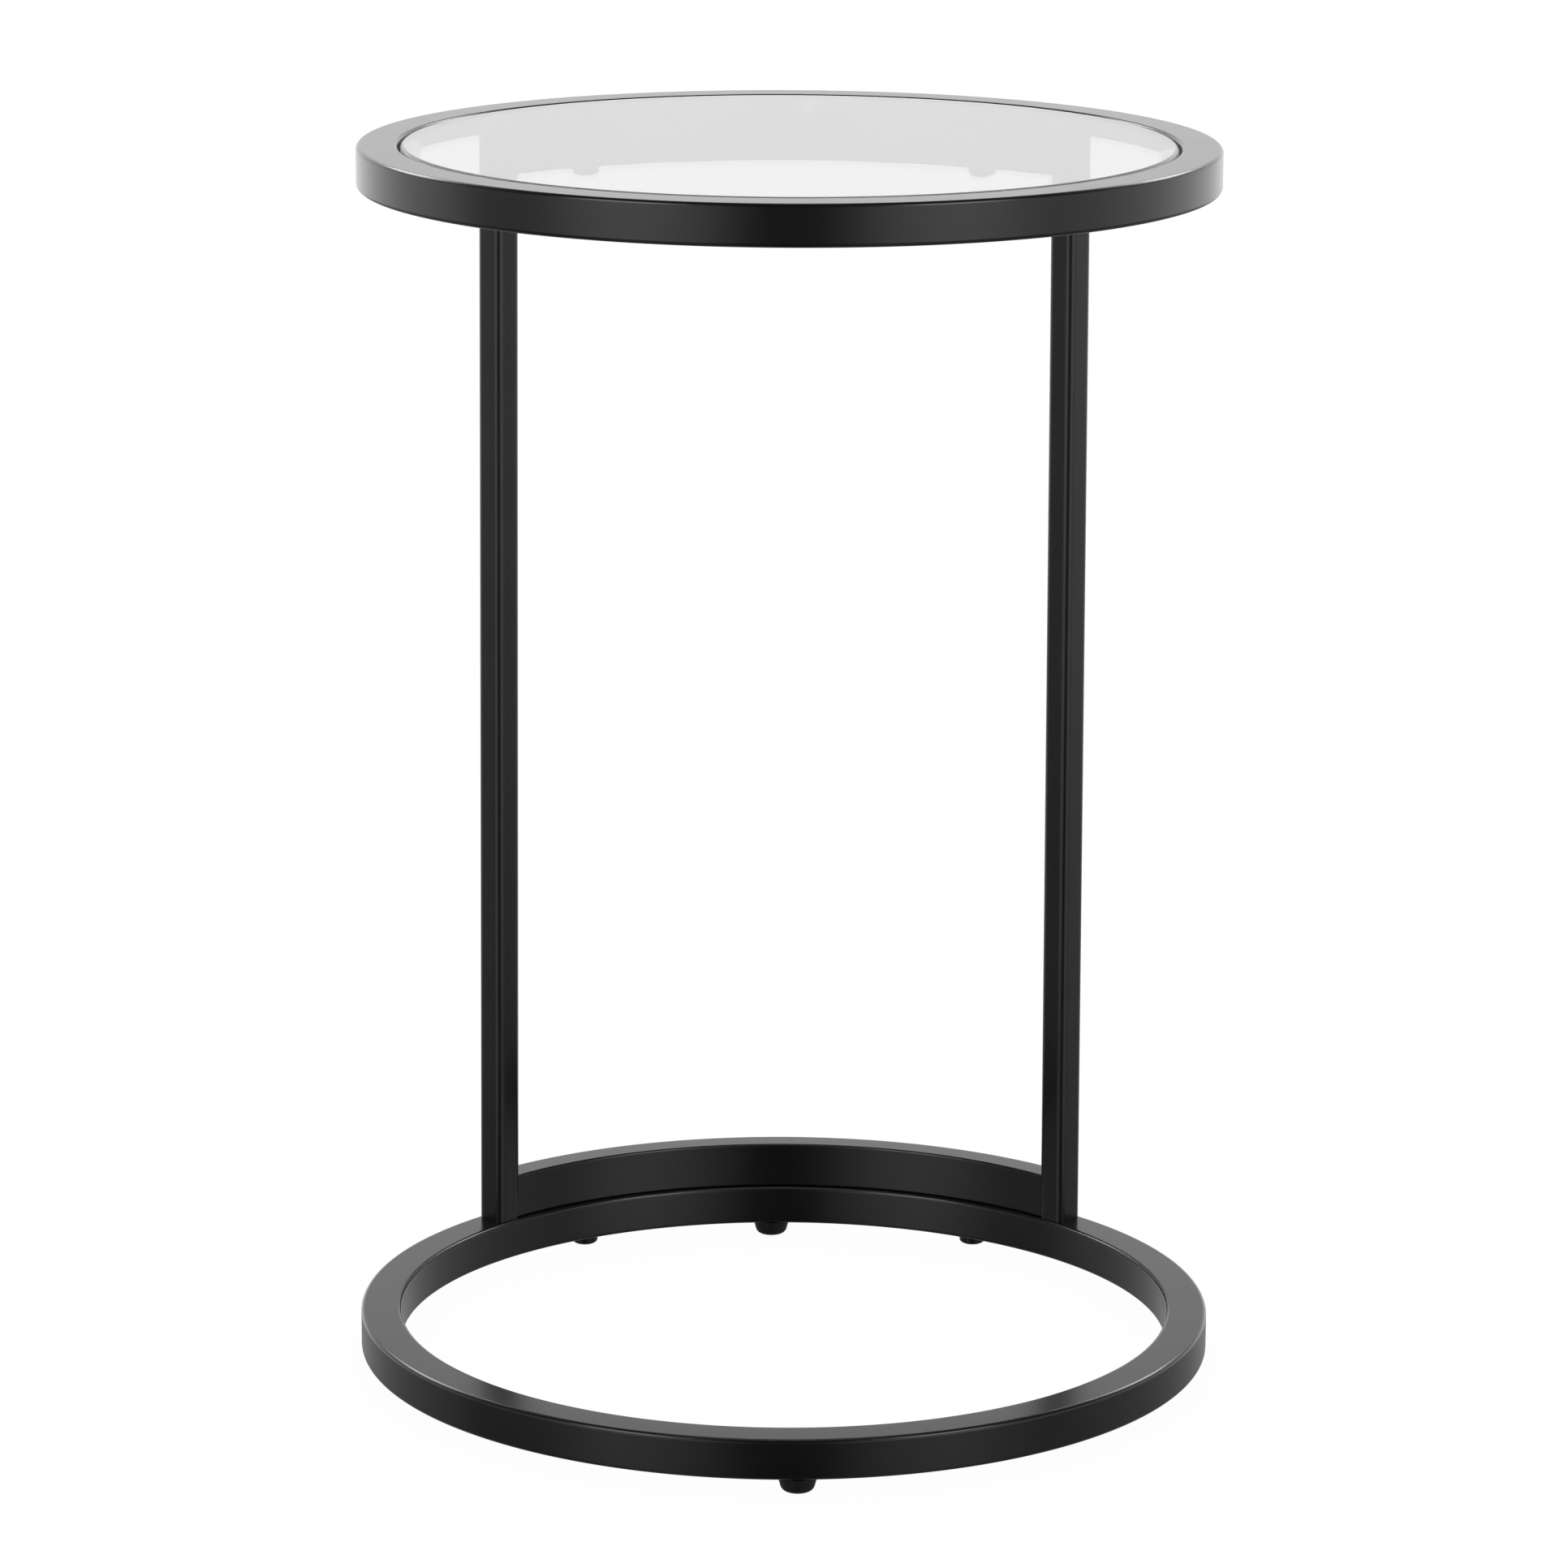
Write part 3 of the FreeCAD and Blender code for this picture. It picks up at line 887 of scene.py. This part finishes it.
@dataclass
class TubeFrame:
    """Both rings, the legs and the curved stretchers, all of steel tube under one coat."""

    ring_corner: float = 2 * MM
    leg_tube: float = 16 * MM
    leg_corner: float = 4 * MM
    arc_depth: float = 15 * MM
    arc_corner: float = 1.2 * MM
    corner_steps: int = 8
    ring_steps: int = 360
    arc_steps: int = 96
    coat: PowderCoat = PowderCoat()
    rolled: RolledTube = field(default_factory=RolledTube)
    upright: UprightTube = field(default_factory=UprightTube)

    def build(self) -> None:
        """Make every tube of the frame."""
        for node in ("top_ring", "base_ring"):
            self.make_ring(node)
        for node in ("upper_arc", "lower_arc"):
            self.make_arc(node)
        for side in Side:
            self.make_leg(f"{side.value}_leg")

    def make_tube(self, recipe: Recipe, node: str, corner: float, values: Values) -> None:
        """Tube in the place of a CAD tube.

        Args:
            recipe: Tree that makes the tube.
            node: The CAD tube.
            corner: Radius of the tube's corners.
            values: The tree's other inputs.
        """
        piece = recipe.make(f"{node}_tube", {
            **values, "Corner Radius": corner, "Corner Steps": self.corner_steps,
            "Finish": self.coat.material()})
        settle(piece, self.coat, CadBody.FRAME, [node])

    def make_ring(self, node: str) -> None:
        """Ring of tube in the place of a CAD ring.

        Args:
            node: The CAD ring.
        """
        low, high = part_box(node)
        tube = high.z - low.z
        self.make_tube(self.rolled, node, self.ring_corner, {
            "Middle Radius": self.middle_radius(node), "Full Ring": True, "Path Steps": self.ring_steps,
            "Tube Depth": tube, "Tube Height": tube, "Level": middle(node).z})

    def make_arc(self, node: str) -> None:
        """Stretcher in the place of a CAD arc, run on to the middle of the legs that it is welded to.

        Args:
            node: The CAD arc.
        """
        low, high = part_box(node)
        leg = middle(f"{Side.RIGHT.value}_leg")
        self.make_tube(self.rolled, node, self.arc_corner, {
            "Middle Radius": high.y - self.arc_depth / 2, "Full Ring": False,
            "Half Sweep": angle_from_back(leg), "Path Steps": self.arc_steps,
            "Tube Depth": self.arc_depth, "Tube Height": high.z - low.z, "Level": middle(node).z})

    def make_leg(self, node: str) -> None:
        """Leg in the place of a CAD leg, from the middle line of the base ring to that of the top ring.

        Args:
            node: The CAD leg.
        """
        low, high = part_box(node)
        angle = angle_from_back(middle(node))
        outwards = Vector((math.sin(angle), math.cos(angle), 0))
        foot = outwards * self.middle_radius("base_ring") + Vector((0, 0, low.z))
        head = outwards * self.middle_radius("top_ring") + Vector((0, 0, high.z))
        self.make_tube(self.upright, node, self.leg_corner, {
            "Foot": foot, "Head": head, "Angle": angle, "Tube Side": self.leg_tube})

    @staticmethod
    def middle_radius(ring: str) -> float:
        """Radius of the middle line of a CAD ring's tube."""
        low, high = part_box(ring)
        return high.x - (high.z - low.z) / 2


@dataclass
class GlassTop:
    """Round glass disc with a ground and polished edge."""

    edge: float = 2 * MM
    flat_margin: float = 0.15 * MM
    steps: int = 256
    edge_steps: int = 10

    def build(self) -> None:
        """Make the disc in the place of the CAD glass."""
        low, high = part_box("glass_top")
        radius = high.x
        flat = radius - self.edge - self.flat_margin
        outline = rounded_outline([
            Corner(0, low.z), Corner(flat, low.z), Corner(radius, low.z, self.edge),
            Corner(radius, high.z, self.edge), Corner(flat, high.z), Corner(0, high.z)],
            steps=self.edge_steps)
        piece = plain_piece(new_object("glass_disc", turn_on_lathe("glass_disc", outline, self.steps)))
        piece.visible_shadow = False
        settle(piece, ClearGlass(radius=radius, edge=self.edge), CadBody.GLASS, ["glass_top"])


@dataclass
class GlassSeats:
    """Steel pins in the top ring and the clear sleeves on them, on which the glass lies."""

    copies: SpotCopies
    pin_chamfer: float = 0.5 * MM
    sleeve_bore: float = 4.2 * MM
    sleeve_round: float = 0.8 * MM
    mouth_round: float = 0.3 * MM
    glass_gap: float = 0.02 * MM
    steps: int = 48

    def build(self) -> None:
        """Make the four pins and the four sleeves."""
        pin_names = at_quarters("glass_pin")
        pins = [middle(name) for name in pin_names]
        axis_level = pins[0].z
        spots = [(Vector((0, 0, axis_level)), -angle_from_back(pin)) for pin in pins]
        self.copies.put("glass_pin_set", self.pin(), spots, ZINC_PLATE, pin_names)
        self.copies.put("pin_sleeve_set", self.sleeve(axis_level), spots, ClearSilicone(),
                        at_quarters("pin_sleeve"))

    def reach(self, node: str) -> Span:
        """Least and greatest distance of a CAD node at the back from the table's axis.

        Args:
            node: Name of the node, without its quarter.

        Returns:
            Both distances.
        """
        name = at_quarters(node)[0]
        low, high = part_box(name)
        turn = math.cos(angle_from_back(middle(name)))
        half_width = (high.z - low.z) / 2 * math.sqrt(max(0.0, 1 - turn * turn))
        return (low.y + half_width) / turn, (high.y - half_width) / turn

    def pin(self) -> Mesh:
        """Pin along +Y with a chamfered tip and root.

        Returns:
            Mesh of the pin.
        """
        tip, root = self.reach("glass_pin")
        low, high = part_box(at_quarters("glass_pin")[0])
        radius = (high.z - low.z) / 2
        slim = radius - self.pin_chamfer
        points = ((0, tip), (slim, tip), (radius, tip + self.pin_chamfer),
                  (radius, root - self.pin_chamfer), (slim, root), (0, root))
        return self.lay_down(turn_on_lathe("pin", [Vector(point) for point in points], self.steps))

    def sleeve(self, axis_level: float) -> Mesh:
        """Sleeve along +Y: a cap with a bore, pressed flat on top under the glass.

        Args:
            axis_level: Level of the pins' axes.

        Returns:
            Mesh of the sleeve.
        """
        tip, mouth = self.reach("pin_sleeve")
        pin_tip, _ = self.reach("glass_pin")
        low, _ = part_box(at_quarters("pin_sleeve")[0])
        radius, bore = axis_level - low.z, self.sleeve_bore / 2
        outline = rounded_outline([
            Corner(0, tip), Corner(radius, tip, self.sleeve_round), Corner(radius, mouth, self.mouth_round),
            Corner(bore, mouth, self.mouth_round), Corner(bore, pin_tip), Corner(0, pin_tip)])
        mesh = self.lay_down(turn_on_lathe("sleeve", outline, self.steps))
        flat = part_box("glass_top")[0].z - self.glass_gap - axis_level
        for vertex in mesh.vertices:
            vertex.co.z = min(vertex.co.z, flat)
        return mesh

    @staticmethod
    def lay_down(mesh: Mesh) -> Mesh:
        """The same mesh with its axis along +Y."""
        mesh.transform(Matrix.Rotation(-QUARTER_TURN, 4, "X"))
        return mesh


@dataclass
class Glides:
    """Tapered, round-edged glides under the base ring."""

    copies: SpotCopies
    tread: float = 15 * MM
    edge: float = 3.6 * MM
    lip: float = 0.5 * MM
    hollow: float = 0.5 * MM
    hollow_width: float = 6 * MM
    stem: float = 6.5 * MM
    steps: int = 72
    round_steps: int = 9

    def build(self) -> None:
        """Make the four glides."""
        names = at_quarters("foot")
        places = [middle(name) for name in names]
        spots = [(Vector((place.x, place.y, 0)), -angle_from_back(place)) for place in places]
        self.copies.put("glide_set", self.glide(names[0]), spots, MouldedRubber(), names)

    def glide(self, node: str) -> Mesh:
        """One glide: hollowed tread, rounded edge, tapered side, lip under the ring and stem.

        Args:
            node: CAD glide that gives its width and height.

        Returns:
            Mesh of the glide.
        """
        low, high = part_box(node)
        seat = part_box("base_ring")[0].z
        top, tread, stem = (high.x - low.x) / 2, self.tread / 2, self.stem / 2
        outline = rounded_outline([
            Corner(0, self.hollow), Corner(self.hollow_width / 2, 0, self.hollow),
            Corner(tread, 0, self.edge), Corner(top, seat, self.lip), Corner(stem, seat),
            Corner(stem, high.z), Corner(0, high.z)], steps=self.round_steps)
        return turn_on_lathe("glide", outline, self.steps)


@dataclass
class Fasteners:
    """Button-head bolts with washers, and the insert nuts that they go into."""

    copies: SpotCopies
    head_rim: float = 0.9 * MM
    rim_round: float = 0.25 * MM
    socket: float = 4 * MM
    socket_depth: float = 2 * MM
    socket_lead: float = 0.25 * MM
    shank: float = 6 * MM
    washer_round: float = 0.3 * MM
    washer_bore: float = 6.6 * MM
    steps: int = 72
    dome_steps: int = 9
    round_steps: int = 4
    turns: tuple[float, ...] = (0.2, 0.75, 0.5, 0.05)

    def build(self) -> None:
        """Make the bolts and washers, and plate the CAD nuts."""
        spots = [(self.seat(name), turn) for name, turn in zip(self.names("washer"), self.turns)]
        for part, mesh in (("bolt", self.bolt()), ("washer", self.washer())):
            self.copies.put(f"{part}_set", mesh, spots, BLACKENED_STEEL, self.names(part))
        for name in self.names("nut"):
            nut = frame["nodes"][name]
            nut.data.materials.clear()
            nut.data.materials.append(ZINC_PLATE.material())
            LOG.info("%s: CAD node in %s", name, ZINC_PLATE.name)

    @staticmethod
    def names(part: str) -> list[str]:
        """CAD nodes of one kind of fastener."""
        return [f"{end.value}_{part}_{side.value}" for end in End for side in Side]

    @staticmethod
    def seat(washer: str) -> Vector:
        """Middle of a washer's upper face, which lies against the clamped tube."""
        spot = middle(washer)
        return Vector((spot.x, spot.y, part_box(washer)[1].z))

    def bolt(self) -> Mesh:
        """Bolt that hangs head down from the level of its washer's upper face.

        Returns:
            Mesh of the bolt.
        """
        washer = self.names("washer")[0]
        seat = self.seat(washer).z
        low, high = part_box(self.names("bolt")[0])
        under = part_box(washer)[0].z - seat
        crown, tip = low.z - seat, high.z - seat
        head, shank = (high.x - low.x) / 2, self.shank / 2
        rim = under - self.head_rim
        mouth = self.socket / math.sqrt(3) + self.socket_lead
        dome = [Vector((mouth + (head - mouth) * math.cos(angle), rim + (crown - rim) * math.sin(angle)))
                for angle in (QUARTER_TURN * k / self.dome_steps for k in range(self.dome_steps + 1))]
        top = rounded_outline([
            Corner(head, rim), Corner(head, under, self.rim_round), Corner(shank, under),
            Corner(shank, tip), Corner(0, tip)], steps=self.round_steps)
        return self.with_socket(turn_on_lathe("bolt", dome[::-1] + top[1:], self.steps), crown)

    def with_socket(self, mesh: Mesh, crown: float) -> Mesh:
        """The bolt with a six-sided socket in its open crown.

        Args:
            mesh: Bolt whose head is open at the crown.
            crown: Level of the crown.

        Returns:
            The closed bolt.
        """
        shape = bmesh.new()
        shape.from_mesh(mesh)
        flat, half = self.socket / 2, SIXTH_TURN / 2
        mouth = sorted((vertex for vertex in shape.verts if vertex.is_boundary),
                       key=lambda vertex: angle_from_back(vertex.co))
        for level in (crown + self.socket_lead, crown + self.socket_depth):
            inner = []
            for vertex in mouth:
                around = angle_from_back(vertex.co)
                out = flat / math.cos((around + half) % SIXTH_TURN - half)
                inner.append(shape.verts.new((out * math.sin(around), out * math.cos(around), level)))
            for k in range(len(mouth)):
                shape.faces.new([mouth[k - 1], mouth[k], inner[k], inner[k - 1]])
            mouth = inner
        shape.faces.new(mouth)
        return to_mesh(shape, mesh.name)

    def washer(self) -> Mesh:
        """Flat washer with rounded edges that hangs under its upper face.

        Returns:
            Mesh of the washer.
        """
        low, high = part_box(self.names("washer")[0])
        radius, thick, bore = (high.x - low.x) / 2, high.z - low.z, self.washer_bore / 2
        places = ((bore, -thick), (radius, -thick), (radius, 0), (bore, 0))
        corners = [Corner(out, up, self.washer_round) for out, up in places]
        outline = rounded_outline(corners, closed=True, steps=self.round_steps)
        return turn_on_lathe("washer", outline, self.steps)


@dataclass(frozen=True)
class SoftBox:
    """Oblong lamp on the right that faces the table, with a twin on the left."""

    name: str
    place: tuple[float, float, float]
    width: float
    height: float
    power: float


@dataclass
class Studio:
    """White sweep, two pairs of lamps that only the paint mirrors, and the camera.

    The paint mirrors the studio, so its brightness is given by direction: round the horizon, in degrees
    from the back towards +X, and by the sine of the height above it.
    """

    floor_span: float = 24.0
    floor_drop: float = 0.1 * MM
    floor_colour: Colour = (0.93, 0.93, 0.93, 1)
    shadow_share: float = 0.06
    floor_glow: float = 1.03
    shadow_fade: Span = (0.24, 0.6)
    ambient: float = 0.6
    horizon: tuple[Span, ...] = (
        (-180, 0.1), (-170, 0.22), (-158, 0.98), (-135, 1.6), (-112, 0.72), (-98, 0.55), (-90, 0.6),
        (-78, 1.05), (-60, 1.12), (-35, 1.4), (0, 1.45), (35, 1.4), (65, 1.15), (90, 0.95), (110, 0.85),
        (135, 1.62), (158, 0.98), (170, 0.22), (180, 0.1))
    height: tuple[Span, ...] = (
        (-1.0, 0.25), (-0.4, 0.25), (-0.32, 0.28), (-0.28, 0.4), (-0.21, 0.75), (-0.13, 1.0), (0.0, 1.0),
        (0.13, 0.93), (0.22, 0.85), (0.29, 0.67), (0.33, 0.5), (0.5, 0.3), (0.65, 0.1), (1.0, 0.1))
    soft_boxes: tuple[SoftBox, ...] = (
        SoftBox("rear", place=(2.45, 3.14, 2.9), width=3.0, height=1.0, power=62.0),
        SoftBox("front", place=(2.2, -2.05, 2.5), width=1.5, height=1.5, power=32.0))
    camera_place: tuple[float, float, float] = (-0.050102, -2.973574, 1.001604)
    camera_yaw: float = 0.9425
    camera_pitch: float = 13.3948
    camera_roll: float = 0.2837
    camera_lens: float = 143.037
    camera_sensor: float = 36.0

    def build(self) -> None:
        """Make the world, the floor, the lamps and the camera."""
        self.make_world()
        self.make_floor()
        coated = self.coated_pieces()
        for box in self.soft_boxes:
            for side in Side:
                self.make_lamp(box, side, coated)
        self.make_camera()
        bpy.context.scene.view_settings.view_transform = "Standard"

    def make_world(self) -> None:
        """White to the camera and through glass, a sweep under a dark ceiling in reflections."""
        world = bpy.data.worlds.new("studio")
        bpy.context.scene.world = world
        bench = Bench.emptied(world)
        white, mirror = self.ray_kinds(bench)
        way = bench.split(bench.node("ShaderNodeTexCoord", output="Generated"))
        turn = way.maths("ARCTAN2", way, way.pick("Y")) * math.degrees(1)
        sweep = bench.ramp(turn, self.horizon) * bench.ramp(way.pick("Z"), self.height)
        strength = white + mirror * sweep + (1 - white - mirror) * self.ambient
        light = bench.node("ShaderNodeBackground", sockets={"Color": WHITE, "Strength": strength})
        bench.end("ShaderNodeOutputWorld", light)

    @staticmethod
    def ray_kinds(bench: Bench) -> tuple[Wire, Wire]:
        """Switches by the kind of ray.

        Args:
            bench: Tree that they are for.

        Returns:
            One for rays that see plain white, and one for rays that a surface mirrors.
        """
        ray = bench.node("ShaderNodeLightPath")
        through = ray.pick("Is Transmission Ray")
        return ray.pick("Is Camera Ray") + through, ray.pick("Is Glossy Ray") * (1 - through)

    def make_floor(self) -> None:
        """Plain white floor with a faint shadow, which runs into the white of the world.

        What the paint mirrors of it is part of the world's brightness by direction.
        """
        half = self.floor_span / 2
        mesh = bpy.data.meshes.new("floor")
        signs = ((-1, -1), (1, -1), (1, 1), (-1, 1))
        mesh.from_pydata([(x * half, y * half, -self.floor_drop) for x, y in signs], [], [(0, 1, 2, 3)])
        material = bpy.data.materials.new("white_floor")
        bench = Bench.emptied(material)
        white, mirror = self.ray_kinds(bench)
        shadow = (1 - bench.step(bench.from_axis(bench.place()), *self.shadow_fade)) * self.shadow_share
        matt = bench.node("ShaderNodeBsdfDiffuse", sockets={"Color": self.floor_colour})
        bright = bench.node("ShaderNodeEmission", sockets={"Color": WHITE, "Strength": self.floor_glow})
        seen = bench.node("ShaderNodeMixShader", sockets={0: white * (1 - shadow), 1: matt, 2: bright})
        passed = bench.node("ShaderNodeBsdfTransparent", sockets={"Color": WHITE})
        mixed = bench.node("ShaderNodeMixShader", sockets={0: mirror, 1: seen, 2: passed})
        bench.end("ShaderNodeOutputMaterial", mixed)
        mesh.materials.append(material)
        new_object("floor", mesh)

    @staticmethod
    def coated_pieces() -> Collection:
        """Every piece under powder coat.

        Returns:
            Collection of the pieces.
        """
        coat = PowderCoat().material()
        pieces = bpy.data.collections.new("coated_pieces")
        for piece in bpy.context.scene.objects:
            if piece.active_material == coat:
                pieces.objects.link(piece)
        return pieces

    @staticmethod
    def make_lamp(box: SoftBox, side: Side, lit: Collection) -> None:
        """One lamp of a pair.

        Args:
            box: The pair.
            side: Side on which the lamp stands.
            lit: Pieces that the lamp lights.
        """
        name = f"{box.name}_lamp_{side.value}"
        lamp = bpy.data.lights.new(name, "AREA")
        lamp.shape = "RECTANGLE"
        lamp.size = box.width
        lamp.size_y = box.height
        lamp.energy = box.power
        holder = new_object(name, lamp)
        sign = -1 if side is Side.LEFT else 1
        place = Vector((sign, 1, 1)) * Vector(box.place)
        facing = (-place).to_track_quat("-Z", "Y").to_matrix().to_4x4()
        holder.matrix_world = Matrix.Translation(place) @ facing
        holder.visible_camera = False
        holder.visible_diffuse = False
        holder.light_linking.receiver_collection = lit

    def make_camera(self) -> None:
        """Camera at the photograph's place, angle and lens."""
        data = bpy.data.cameras.new("photo_camera")
        data.lens = self.camera_lens
        data.sensor_width = self.camera_sensor
        camera = new_object("photo_camera", data)
        yaw, pitch, roll = (math.radians(a) for a in (self.camera_yaw, self.camera_pitch, self.camera_roll))
        aimed = Matrix.Translation(self.camera_place) @ Matrix.Rotation(-yaw, 4, "Z")
        tilted = aimed @ Matrix.Rotation(QUARTER_TURN - pitch, 4, "X")
        camera.matrix_world = tilted @ Matrix.Rotation(roll, 4, "Z")
        bpy.context.scene.camera = camera


def main() -> None:
    """Build the table and the studio round it."""
    logging.basicConfig(level=logging.INFO, format="%(name)s: %(message)s")
    TubeFrame().build()
    GlassTop().build()
    copies = SpotCopies()
    GlassSeats(copies).build()
    Glides(copies).build()
    Fasteners(copies).build()
    Studio().build()


if __name__ == "__main__":
    main()
